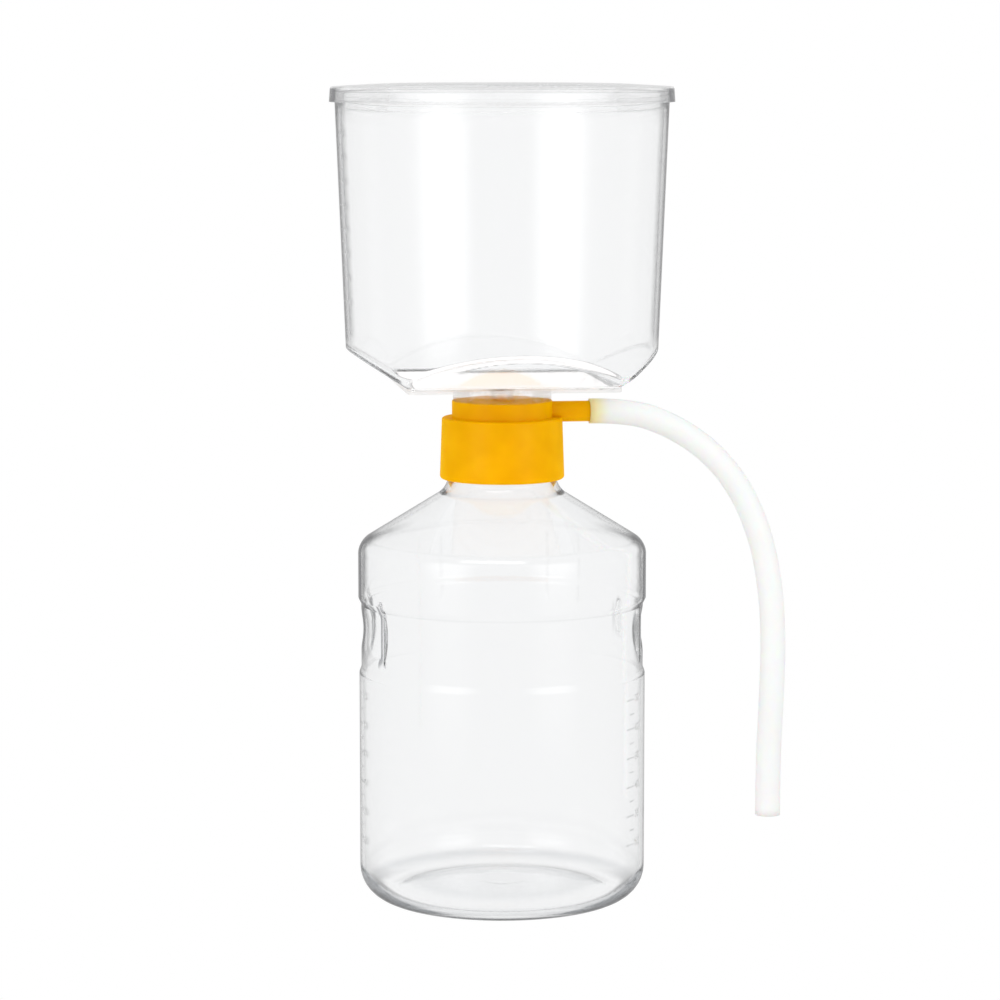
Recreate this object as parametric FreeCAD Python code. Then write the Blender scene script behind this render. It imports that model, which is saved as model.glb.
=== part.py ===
import FreeCAD, Part
import math
import os
from FreeCAD import Rotation, Vector

# Disposable one-litre vacuum filtration unit: a blown receiver bottle, a threaded vacuum
# adapter with a side arm, a square membrane on its drain plate, a round funnel and its lid.
# Millimetres, +Z up. The origin is the middle of the ring that the bottle stands on.

# Receiver bottle: one blown piece
BODY_R = 54.8            # lower body, outside
BAND_PROUD = 0.3         # band between waist and shoulder, beyond the body
WAIST_DEPTH = 0.8        # waist, inside the body
BAND_R = BODY_R + BAND_PROUD
WAIST_R = BODY_R - WAIST_DEPTH
BOTTLE_WALL = 1.4
BOTTLE_FLOOR = 2.6
HEEL_R = 12.5            # round between base and body
FOOT_WIDTH = 2.0         # flat ring that the bottle stands on
PUSH_UP = 4.6            # middle of the base above the foot
PUSH_UP_R = 20.0         # where the base's slope would meet its level middle
PUSH_UP_ROUND_R = 90.0
WAIST_BOTTOM = 90.0
WAIST_TOP = 116.8
WAIST_STEP = 2.2         # height of the slope at each end of the waist
WAIST_LOW_ROUND_R = 1.5
WAIST_HIGH_ROUND_R = 0.7
SHOULDER_ANGLE = 31.7    # shoulder above the horizontal, degrees
SHOULDER_R = 7.0
NECK_R = 20.6            # plain neck; the thread stands on it
NECK_WALL = 2.4
NECK_ROOT_R = 8.0
NECK_LENGTH = 23.1       # from the shoulder's line to the sealing lip
NECK_HEIGHT = 182.2      # sealing lip
LIP_R = 0.5
SHOULDER_RISE = (BAND_R - NECK_R) * math.tan(math.radians(SHOULDER_ANGLE))
SHOULDER_Z = NECK_HEIGHT - NECK_LENGTH - SHOULDER_RISE

# Two finger grips, opposite each other, scooped into the waist
GRIP_DEPTH = 0.6         # below the waist, in the middle of the grip
GRIP_AXIS_X = 17.5       # upright axis that each grip floor is turned about
GRIP_FLOOR_R = WAIST_R - GRIP_DEPTH - GRIP_AXIS_X
GRIP_SCOOP_R = 26.0      # hollow of the floor in an upright section
GRIP_HALF_WIDTH = 19.3
GRIP_Z = 105.0
GRIP_CLOCK = 3.0         # turn of the grips from the side arm once the head is tight, degrees

# Neck gasket
GASKET_THICKNESS = 1.4
GASKET_LAP = 0.8         # how far it reaches in past the neck's bore
GASKET_OVERHANG = 0.3    # how far it reaches out past the neck
GASKET_INNER_R = NECK_R - NECK_WALL - GASKET_LAP
GASKET_OUTER_R = NECK_R + GASKET_OVERHANG

# Vacuum adapter: a stepped cap open at the bottom, with skirt, chamber, deck and side arm in one
THREAD_ROOM = 0.9        # between neck and skirt, taken up by the thread
SKIRT_WALL = 1.5
SKIRT_FLARE = 0.8        # wider at the bottom than at the top
SKIRT_LENGTH = 23.4
SKIRT_TOP_R = NECK_R + THREAD_ROOM + SKIRT_WALL
SKIRT_BOTTOM_R = SKIRT_TOP_R + SKIRT_FLARE
SKIRT_EDGE_R = 1.2
SKIRT_SHOULDER_R = 0.8
PLATE_THICKNESS = 2.2    # step between skirt and chamber, which presses on the gasket
RING_R = 19.15           # chamber wall, outside
RING_WALL = 1.75
RING_HEIGHT = 6.5        # deck's top above the step
RING_EDGE_R = 0.4
DECK_THICKNESS = 1.6     # roof of the chamber, which carries the drain plate
COLLAR_WALL = 1.4
COLLAR_GAP = 0.3         # between the collar and the spout that goes through it
COLLAR_LENGTH = 9.0      # below the deck's top
RIB_COUNT = 6            # under the deck, from collar to chamber wall
RIB_THICKNESS = 1.2
RIB_DEPTH = 2.0
RIB_BITE = 0.3           # length that a rib goes into collar and wall
ARM_R = 3.95
ARM_END = 33.6           # from the axis to the shoulder that the tube stops at
ARM_Z_ABOVE_PLATE = 1.9
ARM_BORE_R = 2.1
BARB_BITE = 0.3          # crests over, and roots under, the bore of the tube
BARB_PITCH = 4.0
BARB_PLAIN = 1.4         # plain length before each crest
BARB_COUNT = 3

# Membrane: one square sheet, 79 mm across
MEMBRANE_HALF = 39.5
MEMBRANE_CORNER_R = 2.8
MEMBRANE_THICKNESS = 0.2

# Drain plate under the membrane
PLATE_LIP = 0.5          # lip around the membrane
BOND_GAP = 0.1           # between pieces bonded together
SEAT_WIDTH = 1.7         # ledge that the membrane's edge lies on
PLATE_HALF = MEMBRANE_HALF + BOND_GAP + PLATE_LIP
PLATE_CORNER_R = MEMBRANE_CORNER_R + BOND_GAP + PLATE_LIP
PAN_HALF = MEMBRANE_HALF - SEAT_WIDTH
PLATE_HEIGHT = 2.0
PAN_DEPTH = 1.0
GRID_RING_WIDTH = 1.0
GRID_RING_PITCH = 6.0
CHANNEL_WIDTH = 3.0
CHANNEL_COUNT = 8
HUB_HEIGHT = 6.1         # clear hub between plate and deck
HUB_WALL = 1.6
SPOUT_BORE_R = 3.2
SPOUT_WALL = 1.3
SPOUT_DROP = 12.2        # spout's end below the bottle's lip

# Funnel: round tapering wall, cut by four sloping faces down to a square foot, flush with the plate
FUNNEL_SLOPE = 31.3      # sloping faces above the horizontal, degrees
FUNNEL_R_AT_RIM = 63.2
FUNNEL_TAPER = 4.3       # smaller in radius at the foot than at the rim
FUNNEL_R_AT_FOOT = FUNNEL_R_AT_RIM - FUNNEL_TAPER
FUNNEL_HEIGHT = 109.0
FUNNEL_WALL = 1.6
RIM_PROUD = 0.5          # bead around the rim, beyond the wall
RIM_R = FUNNEL_R_AT_RIM + RIM_PROUD
RIM_HEIGHT = 3.6

# Lid
LID_PLATE = 1.7
LID_CROWN = 1.2          # middle of the lid above its edge
LID_FLAT_R = 44.0        # where the crown's slope would meet its level middle
LID_CROWN_ROUND_R = 250.0
LID_SKIRT = 4.0          # skirt below the plate
LID_GAP = 0.3            # between lid skirt and funnel rim
LID_WALL = 1.3           # skirt at its lower edge
LID_DRAFT = 0.4          # smaller in radius at the top
LID_BOTTOM_R = RIM_R + LID_GAP + LID_WALL
LID_TOP_R = LID_BOTTOM_R - LID_DRAFT
LID_EDGE_R = 0.9

# Vacuum tubing
TUBE_BORE_R = 3.2
TUBE_WALL = 1.6
TUBE_R = TUBE_BORE_R + TUBE_WALL
BARB_ROOT_R = TUBE_BORE_R - BARB_BITE
BARB_CREST_R = TUBE_BORE_R + BARB_BITE
BEND_SHARE = 0.45        # share of the shorter run that a bend takes up

# Heights that follow from the sizes above
PLATE_BOTTOM = NECK_HEIGHT + GASKET_THICKNESS      # underside of the adapter plate
PLATE_TOP = PLATE_BOTTOM + PLATE_THICKNESS
SKIRT_BOTTOM = PLATE_TOP - SKIRT_LENGTH
SPOUT_END = NECK_HEIGHT - SPOUT_DROP
RING_TOP = PLATE_TOP + RING_HEIGHT
ARM_Z = PLATE_TOP + ARM_Z_ABOVE_PLATE
DRAIN_BOTTOM = RING_TOP + HUB_HEIGHT
DRAIN_TOP = DRAIN_BOTTOM + PLATE_HEIGHT
FUNNEL_TOP = DRAIN_TOP + FUNNEL_HEIGHT
LID_TOP = FUNNEL_TOP + LID_PLATE                   # at the lid's edge

# Route of the tubing's middle line, from the side arm's shoulder
TUBE_ROUTE = [
    (ARM_END, 0.0, ARM_Z),
    (49.0, 0.0, ARM_Z),
    (65.0, -0.4, 182.2),
    (80.5, -1.4, 172.0),
    (92.5, -3.0, 157.0),
    (100.0, -5.0, 138.5),
    (103.6, -7.0, 118.0),
    (104.4, -8.8, 97.0),
    (103.4, -10.2, 75.0),
    (102.2, -11.0, 53.0),
    (102.2, -11.0, 31.0),
]


def rounded_edges(corners):
    """Edges of a closed outline in the XZ plane; each corner is (x, z, radius)."""
    points = [Vector(x, 0, z) for x, z, radius in corners]
    spans = []
    for i, (x, z, radius) in enumerate(corners):
        here = points[i]
        back = (points[i - 1] - here).normalize()
        ahead = (points[(i + 1) % len(points)] - here).normalize()
        if radius == 0:
            spans.append((here, here, here))
            continue
        half = back.getAngle(ahead) / 2
        reach = radius / math.tan(half)
        middle = here + (back + ahead).normalize() * (radius / math.sin(half) - radius)
        spans.append((here + back * reach, middle, here + ahead * reach))
    edges = []
    for i, (start, middle, end) in enumerate(spans):
        if (end - start).Length > 1e-6:
            edges.append(Part.Arc(start, middle, end).toShape())
        following = spans[(i + 1) % len(spans)][0]
        if (following - end).Length > 1e-6:
            edges.append(Part.LineSegment(end, following).toShape())
    return edges


def turned(corners):
    """Solid of revolution about Z from an outline of (radius, z, corner radius)."""
    face = Part.Face(Part.Wire(rounded_edges(corners)))
    return face.revolve(Vector(0, 0, 0), Vector(0, 0, 1), 360)


def rounded_square(half, corner_r, z):
    """Wire of a square with round corners, level at height z."""
    flat = half - corner_r
    edges = []
    for k in range(4):
        turn = Rotation(Vector(0, 0, 1), 90 * k)
        start = turn.multVec(Vector(half, -flat, z))
        end = turn.multVec(Vector(half, flat, z))
        lean = corner_r * math.sqrt(0.5)
        middle = turn.multVec(Vector(flat + lean, flat + lean, z))
        following = turn.multVec(Vector(flat, half, z))
        edges.append(Part.LineSegment(start, end).toShape())
        edges.append(Part.Arc(end, middle, following).toShape())
    return Part.Wire(edges)


def square_slab(half, corner_r, bottom, top):
    """Square slab with round corners."""
    return Part.Face(rounded_square(half, corner_r, bottom)).extrude(Vector(0, 0, top - bottom))


def cylinder(radius, bottom, top):
    return Part.makeCylinder(radius, top - bottom, Vector(0, 0, bottom))


def grip_tool(wall):
    """Both grip hollows, grown inwards by the wall for the inside of the bottle."""
    half = GRIP_HALF_WIDTH + wall
    ring_r = GRIP_FLOOR_R + GRIP_SCOOP_R
    scoop = Part.makeTorus(ring_r, GRIP_SCOOP_R + wall)
    scoop.rotate(Vector(0, 0, 0), Vector(0, 0, 1), 180)  # keeps its seam off the grip floor
    scoop.translate(Vector(GRIP_AXIS_X, 0, GRIP_Z))
    height = 2 * (GRIP_SCOOP_R + wall)
    corner = Vector(GRIP_AXIS_X + half / 2, -half, GRIP_Z - height / 2)
    slot = Part.makeBox(ring_r, 2 * half, height, corner)
    right = scoop.common(slot)
    left = right.copy()
    left.rotate(Vector(0, 0, 0), Vector(0, 0, 1), 180)
    return [right, left]


def bottle_form(wall, neck_wall, floor):
    """The bottle's form as a full solid, set in from the outside by its walls."""
    slope = math.radians(SHOULDER_ANGLE)
    neck_r = NECK_R - neck_wall
    shoulder_z = SHOULDER_Z - wall * (1 / math.cos(slope) - math.tan(slope))
    neck_z = SHOULDER_Z + (BAND_R - neck_r) * math.tan(slope) - wall / math.cos(slope)
    foot_r = BODY_R - HEEL_R - FOOT_WIDTH
    low_round_r = WAIST_LOW_ROUND_R if wall == 0 else 0
    high_round_r = WAIST_HIGH_ROUND_R if wall == 0 else 0
    form = turned([
        (0, PUSH_UP + floor, 0),
        (PUSH_UP_R, PUSH_UP + floor, PUSH_UP_ROUND_R),
        (foot_r, floor, 0),
        (BODY_R - wall, floor, HEEL_R - wall),
        (BODY_R - wall, WAIST_BOTTOM - WAIST_STEP, low_round_r),
        (WAIST_R - wall, WAIST_BOTTOM, low_round_r),
        (WAIST_R - wall, WAIST_TOP - WAIST_STEP, high_round_r),
        (BAND_R - wall, WAIST_TOP, high_round_r),
        (BAND_R - wall, shoulder_z, SHOULDER_R - wall),
        (neck_r, neck_z, NECK_ROOT_R + wall),
        (neck_r, NECK_HEIGHT, LIP_R if wall == 0 else 0),
        (0, NECK_HEIGHT, 0),
    ])
    form.rotate(Vector(0, 0, 0), Vector(0, 0, 1), 90)  # keeps its seam off the grips
    for hollow in grip_tool(wall):
        form = form.cut(hollow)
    form.rotate(Vector(0, 0, 0), Vector(0, 0, 1), GRIP_CLOCK)
    return form


def receiver_bottle():
    outside = bottle_form(0, 0, 0)
    inside = bottle_form(BOTTLE_WALL, NECK_WALL, BOTTLE_FLOOR)
    return outside.cut(inside)


def neck_gasket():
    ring = cylinder(GASKET_OUTER_R, NECK_HEIGHT, PLATE_BOTTOM)
    return ring.cut(cylinder(GASKET_INNER_R, NECK_HEIGHT, PLATE_BOTTOM))


def side_arm():
    """Side arm along +X with its barbed end, as a solid bar."""
    corners = [(0, 0, 0), (ARM_R, 0, 0), (ARM_R, ARM_END, 0), (BARB_ROOT_R, ARM_END, 0)]
    for k in range(BARB_COUNT):
        start = ARM_END + BARB_PITCH * k + BARB_PLAIN
        end = ARM_END + BARB_PITCH * (k + 1)
        corners.append((BARB_ROOT_R, start, 0))
        corners.append((BARB_CREST_R, start, 0))
        corners.append((BARB_ROOT_R, end, 0))
    corners.append((0, ARM_END + BARB_PITCH * BARB_COUNT, 0))
    arm = turned(corners)
    arm.rotate(Vector(0, 0, 0), Vector(0, 1, 0), 90)
    arm.translate(Vector(0, 0, ARM_Z))
    return arm


def vacuum_adapter():
    ring_inner = RING_R - RING_WALL
    collar_inner = SPOUT_BORE_R + SPOUT_WALL + COLLAR_GAP
    collar_outer = collar_inner + COLLAR_WALL
    deck_bottom = RING_TOP - DECK_THICKNESS
    moulding = turned([
        (SKIRT_BOTTOM_R, SKIRT_BOTTOM, SKIRT_EDGE_R),
        (SKIRT_TOP_R, PLATE_TOP, SKIRT_SHOULDER_R),
        (RING_R, PLATE_TOP, 0),
        (RING_R, RING_TOP, RING_EDGE_R),
        (collar_inner, RING_TOP, 0),
        (collar_inner, RING_TOP - COLLAR_LENGTH, 0),
        (collar_outer, RING_TOP - COLLAR_LENGTH, 0),
        (collar_outer, deck_bottom, 0),
        (ring_inner, deck_bottom, 0),
        (ring_inner, PLATE_BOTTOM, 0),
        (SKIRT_TOP_R - SKIRT_WALL, PLATE_BOTTOM, 0),
        (SKIRT_BOTTOM_R - SKIRT_WALL, SKIRT_BOTTOM, 0),
    ])
    arm = side_arm().cut(cylinder(ring_inner, PLATE_BOTTOM, RING_TOP))
    moulding = moulding.fuse(arm)
    ribs = []
    for k in range(RIB_COUNT):
        rib = Part.makeBox(
            ring_inner - collar_outer + 2 * RIB_BITE, RIB_THICKNESS, RIB_DEPTH,
            Vector(collar_outer - RIB_BITE, -RIB_THICKNESS / 2, deck_bottom - RIB_DEPTH))
        rib.rotate(Vector(0, 0, 0), Vector(0, 0, 1), 360 * (k + 0.5) / RIB_COUNT)
        ribs.append(rib)
    moulding = moulding.fuse(ribs)
    bore_start = ring_inner - RING_WALL
    bore_length = ARM_END + BARB_PITCH * BARB_COUNT - bore_start
    bore_foot = Vector(bore_start, 0, ARM_Z)
    bore = Part.makeCylinder(ARM_BORE_R, bore_length, bore_foot, Vector(1, 0, 0))
    return moulding.cut(bore)


def drain_plate():
    """Plate with a drained rib grid on top, a hub below and the spout in the middle."""
    seat = DRAIN_TOP - MEMBRANE_THICKNESS
    pan_floor = seat - PAN_DEPTH
    hub_r = RING_R - RING_EDGE_R
    spout_r = SPOUT_BORE_R + SPOUT_WALL
    plate = square_slab(PLATE_HALF, PLATE_CORNER_R, DRAIN_BOTTOM, DRAIN_TOP)
    sheet_corner_r = MEMBRANE_CORNER_R + BOND_GAP
    plate = plate.cut(square_slab(MEMBRANE_HALF + BOND_GAP, sheet_corner_r, seat, DRAIN_TOP))
    pan = square_slab(PAN_HALF, MEMBRANE_CORNER_R, pan_floor, seat)
    rings = []
    ring_count = int((PAN_HALF * math.sqrt(2) - spout_r) / GRID_RING_PITCH)
    for k in range(ring_count):
        middle_r = spout_r + GRID_RING_PITCH * (k + 0.5)
        ring = cylinder(middle_r + GRID_RING_WIDTH / 2, pan_floor, seat)
        rings.append(ring.cut(cylinder(middle_r - GRID_RING_WIDTH / 2, pan_floor, seat)))
    channels = []
    for k in range(CHANNEL_COUNT):
        channel = Part.makeBox(
            2 * PAN_HALF, CHANNEL_WIDTH, PAN_DEPTH, Vector(0, -CHANNEL_WIDTH / 2, pan_floor))
        channel.rotate(Vector(0, 0, 0), Vector(0, 0, 1), 360 * (k + 0.5) / CHANNEL_COUNT)
        channels.append(channel)
    grid = rings[0].multiFuse(rings[1:]).common(pan).cut(channels)
    plate = plate.cut(pan).fuse(grid)
    hub = cylinder(hub_r, RING_TOP, DRAIN_BOTTOM).cut(cylinder(hub_r - HUB_WALL, RING_TOP, DRAIN_BOTTOM))
    spout = cylinder(spout_r, SPOUT_END, DRAIN_BOTTOM)
    bore = cylinder(SPOUT_BORE_R, SPOUT_END, seat)
    return plate.fuse([hub, spout]).cut(bore)


def membrane():
    return square_slab(MEMBRANE_HALF, MEMBRANE_CORNER_R, DRAIN_TOP - MEMBRANE_THICKNESS, DRAIN_TOP)


def funnel_form(wall):
    """The funnel's form as a full solid, set in from the outside by its wall."""
    taper = (FUNNEL_R_AT_RIM - FUNNEL_R_AT_FOOT) / FUNNEL_HEIGHT
    slope = math.radians(FUNNEL_SLOPE)
    foot_r = FUNNEL_R_AT_FOOT - wall
    rim_r = foot_r + taper * FUNNEL_HEIGHT
    cone = Part.makeCone(foot_r, rim_r, FUNNEL_HEIGHT, Vector(0, 0, DRAIN_TOP))
    inset = wall / math.sin(slope)
    half = PLATE_HALF - inset
    spread = FUNNEL_R_AT_RIM - half
    corner_r = PLATE_CORNER_R - inset
    low = rounded_square(half, corner_r, DRAIN_TOP)
    high = rounded_square(half + spread, corner_r + spread, DRAIN_TOP + spread * math.tan(slope))
    pyramid = Part.makeLoft([low, high], True, True)
    above = cylinder(2 * RIM_R, DRAIN_TOP + spread * math.tan(slope), FUNNEL_TOP)
    return cone.common(pyramid.fuse(above))


def funnel():
    body = funnel_form(0)
    rim = turned([
        (FUNNEL_R_AT_RIM - FUNNEL_WALL, FUNNEL_TOP - RIM_HEIGHT, 0),
        (RIM_R, FUNNEL_TOP - RIM_HEIGHT, 0),
        (RIM_R, FUNNEL_TOP, 0),
        (FUNNEL_R_AT_RIM - FUNNEL_WALL, FUNNEL_TOP, 0),
    ])
    return body.fuse(rim).cut(funnel_form(FUNNEL_WALL))


def lid():
    inner_r = RIM_R + LID_GAP
    seat_r = FUNNEL_R_AT_RIM - FUNNEL_WALL
    return turned([
        (0, LID_TOP + LID_CROWN, 0),
        (LID_FLAT_R, LID_TOP + LID_CROWN, LID_CROWN_ROUND_R),
        (LID_TOP_R, LID_TOP, LID_EDGE_R),
        (LID_BOTTOM_R, FUNNEL_TOP - LID_SKIRT, 0),
        (inner_r, FUNNEL_TOP - LID_SKIRT, 0),
        (inner_r, FUNNEL_TOP, 0),
        (seat_r, FUNNEL_TOP, 0),
        (LID_FLAT_R, FUNNEL_TOP + LID_CROWN, LID_CROWN_ROUND_R - LID_PLATE),
        (0, FUNNEL_TOP + LID_CROWN, 0),
    ])


def tube_path(points):
    """Straight runs joined by tangent arcs, each as large as its two runs allow."""
    corners = [Vector(*point) for point in points]
    edges = []
    start = corners[0]
    for before, here, after in zip(corners, corners[1:], corners[2:]):
        back = before - here
        ahead = after - here
        run = min(back.Length, ahead.Length)
        turn = math.pi - back.getAngle(ahead)
        reach = BEND_SHARE * run
        radius = reach / math.tan(turn / 2)
        back.normalize()
        ahead.normalize()
        half = (math.pi - turn) / 2
        middle = here + (back + ahead).normalize() * (radius / math.sin(half) - radius)
        enter = here + back * reach
        leave = here + ahead * reach
        edges.append(Part.LineSegment(start, enter).toShape())
        edges.append(Part.Arc(enter, middle, leave).toShape())
        start = leave
        print("tubing bend radius %.1f, turn %.1f" % (radius, math.degrees(turn)))
    edges.append(Part.LineSegment(start, corners[-1]).toShape())
    return Part.Wire(edges)


def swept(path, radius):
    """Round bar along a path."""
    start = path.OrderedVertexes[0].Point
    direction = path.OrderedEdges[0].tangentAt(path.OrderedEdges[0].FirstParameter)
    section = Part.Wire([Part.makeCircle(radius, start, direction)])
    return path.makePipeShell([section], True, False)


def tubing():
    path = tube_path(TUBE_ROUTE)
    tube = swept(path, TUBE_R).cut(swept(path, TUBE_BORE_R))
    expected = math.pi * (TUBE_R ** 2 - TUBE_BORE_R ** 2) * path.Length
    print("tubing length %.1f, volume %.1f, section x length %.1f" % (path.Length, tube.Volume, expected))
    return tube


NODES = {
    "receiver_bottle": receiver_bottle,
    "neck_gasket": neck_gasket,
    "vacuum_adapter": vacuum_adapter,
    "drain_plate": drain_plate,
    "membrane": membrane,
    "funnel": funnel,
    "lid": lid,
    "tubing": tubing,
}

os.makedirs("parts", exist_ok=True)
for name, build in NODES.items():
    shape = build()
    shape.exportStep("parts/%s.step" % name)
    box = shape.BoundBox
    print("%s: valid %s, solids %d, volume %.0f, z %.1f to %.1f" % (
        name, shape.isValid(), len(shape.Solids), shape.Volume, box.ZMin, box.ZMax))
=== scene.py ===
# %% [markdown]
# # A vacuum filtration unit
#
# The unit is a clear blown bottle, an amber threaded adapter with a side arm and a short tube, a
# square drain plate with its membrane, a round funnel and a lid. This lesson starts from the packed
# frame, which holds every rigid piece at its real size. Each piece then either keeps its mesh and
# gets a finish, or is modelled again at a finer grain in the same place. Lengths are in metres, so
# MM turns a drawing's millimetres into them.

# %% Load the frame
import math

import bmesh
import bpy
from mathutils import Matrix, Vector


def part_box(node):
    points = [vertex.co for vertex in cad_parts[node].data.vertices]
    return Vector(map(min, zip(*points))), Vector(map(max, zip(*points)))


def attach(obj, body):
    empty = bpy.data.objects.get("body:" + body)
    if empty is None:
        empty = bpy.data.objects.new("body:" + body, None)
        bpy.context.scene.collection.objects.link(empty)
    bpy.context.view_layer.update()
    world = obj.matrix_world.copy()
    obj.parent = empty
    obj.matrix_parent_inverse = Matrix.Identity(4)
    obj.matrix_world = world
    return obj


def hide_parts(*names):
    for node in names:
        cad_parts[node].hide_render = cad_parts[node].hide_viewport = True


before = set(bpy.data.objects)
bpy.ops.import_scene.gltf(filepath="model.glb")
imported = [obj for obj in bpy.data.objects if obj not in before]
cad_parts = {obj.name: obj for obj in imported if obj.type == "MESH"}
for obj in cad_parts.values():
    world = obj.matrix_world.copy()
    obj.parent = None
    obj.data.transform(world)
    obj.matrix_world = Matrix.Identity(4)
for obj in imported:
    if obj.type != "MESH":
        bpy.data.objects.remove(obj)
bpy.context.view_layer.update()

MM = 0.001
scene = bpy.context.scene
print("nodes:", sorted(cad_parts))

# %% [markdown]
# ## The camera
#
# A long lens from well back keeps the sides of the bottle nearly parallel, as a catalogue picture
# does. The camera stands a little higher than the lid and looks slightly down, so that the rim,
# the foot of the funnel and the base of the bottle all show as shallow curves.

# %% Camera
CAMERA_AWAY = 1.380
CAMERA_HEIGHT = 0.325
CAMERA_TURN = math.radians(-7.5)
LENS = 130.9
SENSOR_WIDTH = 36.0
AIM_HEIGHT = 0.1539
AIM_ASIDE = 0.8 * MM


def aimed(item, target):
    """Turn a camera or a lamp so that it looks at a point."""
    item.rotation_euler = (Vector(target) - item.location).to_track_quat("-Z", "Y").to_euler()
    return item


camera_data = bpy.data.cameras.new("camera")
camera_data.lens = LENS
camera_data.sensor_width = SENSOR_WIDTH
camera = bpy.data.objects.new("camera", camera_data)
scene.collection.objects.link(camera)
forward = Vector((-math.sin(CAMERA_TURN), math.cos(CAMERA_TURN), 0))
aside = Vector((math.cos(CAMERA_TURN), math.sin(CAMERA_TURN), 0))
camera.location = -forward * CAMERA_AWAY + Vector((0, 0, CAMERA_HEIGHT))
aimed(camera, -aside * AIM_ASIDE + Vector((0, 0, AIM_HEIGHT)))
scene.camera = camera
print("camera at", tuple(round(v, 3) for v in camera.location))

# %% [markdown]
# ## The vacuum tube
#
# A short length of silicone tube is pushed over the barb of the side arm and hangs free. Its middle
# line is one smooth NURBS curve through a few listed points. The wall shows at the open end, so the
# curve is thickened to the outer size, made a mesh, and given its wall by a Solidify modifier.

# %% Tube
TUBE_R = 4.8 * MM
TUBE_WALL = 1.6 * MM
TUBE_SIDES = 12
TUBE_STEPS = 12
TUBE_ROUTE = [
    (33.6, 0.0, 187.7),
    (49.0, 0.0, 187.7),
    (65.0, -0.4, 182.2),
    (80.5, -1.4, 172.0),
    (92.5, -3.0, 157.0),
    (100.0, -5.0, 138.5),
    (103.6, -7.0, 118.0),
    (104.4, -8.8, 97.0),
    (103.4, -10.2, 75.0),
    (102.2, -11.0, 53.0),
    (102.2, -11.0, 31.0),
]


def route_curve(name, bevel):
    """The tube's middle line as a NURBS curve object, with a round section where bevel isn't 0."""
    curve = bpy.data.curves.new(name, "CURVE")
    curve.dimensions = "3D"
    curve.resolution_u = TUBE_STEPS
    curve.bevel_depth = bevel
    curve.bevel_resolution = TUBE_SIDES
    spline = curve.splines.new("NURBS")
    spline.points.add(len(TUBE_ROUTE) - 1)
    for point, place in zip(spline.points, TUBE_ROUTE):
        point.co = (*(Vector(place) * MM), 1)
    spline.order_u = 3
    spline.use_endpoint_u = True
    item = bpy.data.objects.new(name, curve)
    scene.collection.objects.link(item)
    return item


line = route_curve("tube_line", 0)
tube_line = [v.co.copy() for v in bpy.data.meshes.new_from_object(line).vertices]
thick = route_curve("tube_thick", TUBE_R)
tube = bpy.data.objects.new("vacuum_tube", bpy.data.meshes.new_from_object(thick))
scene.collection.objects.link(tube)
bpy.data.objects.remove(line)
bpy.data.objects.remove(thick)
wall = tube.modifiers.new("wall", "SOLIDIFY")
wall.thickness = TUBE_WALL
wall.offset = -1
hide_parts("tubing")
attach(tube, "head")

# %% [markdown]
# ## Turned skins
#
# The bottle and the funnel are round, so each of their skins, outside and inside, starts as half of
# its section: a line of a few corners on one side of the axis. Bevelling a corner's vertex rounds
# it, and one full spin turns the line into a skin. A screw modifier would do the same, but bmesh
# operators leave a plain mesh, whose points can then be pressed in for grips and flats.

# %% Helpers for turned skins
SMALL_ROUND = 2.0
SMALL_ROUND_SEGMENTS = 3
ROUND_SEGMENTS = 9
SAME_PLACE = 0.001 * MM
SHARP_EDGE = math.radians(40)


def section_line(corners):
    """A line in the XZ plane through (radius, height, rounding) corners, in millimetres."""
    bm = bmesh.new()
    verts = [bm.verts.new((radius * MM, 0, height * MM)) for radius, height, rounding in corners]
    for start, end in zip(verts, verts[1:]):
        bm.edges.new((start, end))
    rounds = []
    for i, (radius, height, rounding) in enumerate(corners):
        if rounding:
            back = verts[i - 1].co - verts[i].co
            ahead = verts[i + 1].co - verts[i].co
            reach = rounding * MM / math.tan(back.angle(ahead) / 2)
            segments = SMALL_ROUND_SEGMENTS if rounding < SMALL_ROUND else ROUND_SEGMENTS
            rounds.append((verts[i], reach, segments))
    for vert, reach, segments in rounds:
        bmesh.ops.bevel(bm, geom=[vert], offset=reach, segments=segments, profile=0.5,
                        affect="VERTICES", material=-1)
    return bm


def refined(bm, low, high, step):
    """Cut the line's edges between two heights into pieces no longer than a step."""
    for edge in list(bm.edges):
        middle = (edge.verts[0].co.z + edge.verts[1].co.z) / 2 / MM
        if low < middle < high:
            cuts = math.ceil(edge.calc_length() / MM / step) - 1
            if cuts > 0:
                bmesh.ops.subdivide_edges(bm, edges=[edge], cuts=cuts)


def spun(bm, steps):
    """Spin a section line once round the axis and close its poles."""
    bmesh.ops.spin(bm, geom=bm.verts[:] + bm.edges[:], cent=(0, 0, 0), axis=(0, 0, 1),
                   angle=math.tau, steps=steps, use_merge=True)
    bmesh.ops.remove_doubles(bm, verts=bm.verts[:], dist=SAME_PLACE)
    return bm


print("a rounding has", SMALL_ROUND_SEGMENTS, "or", ROUND_SEGMENTS, "segments")


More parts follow.
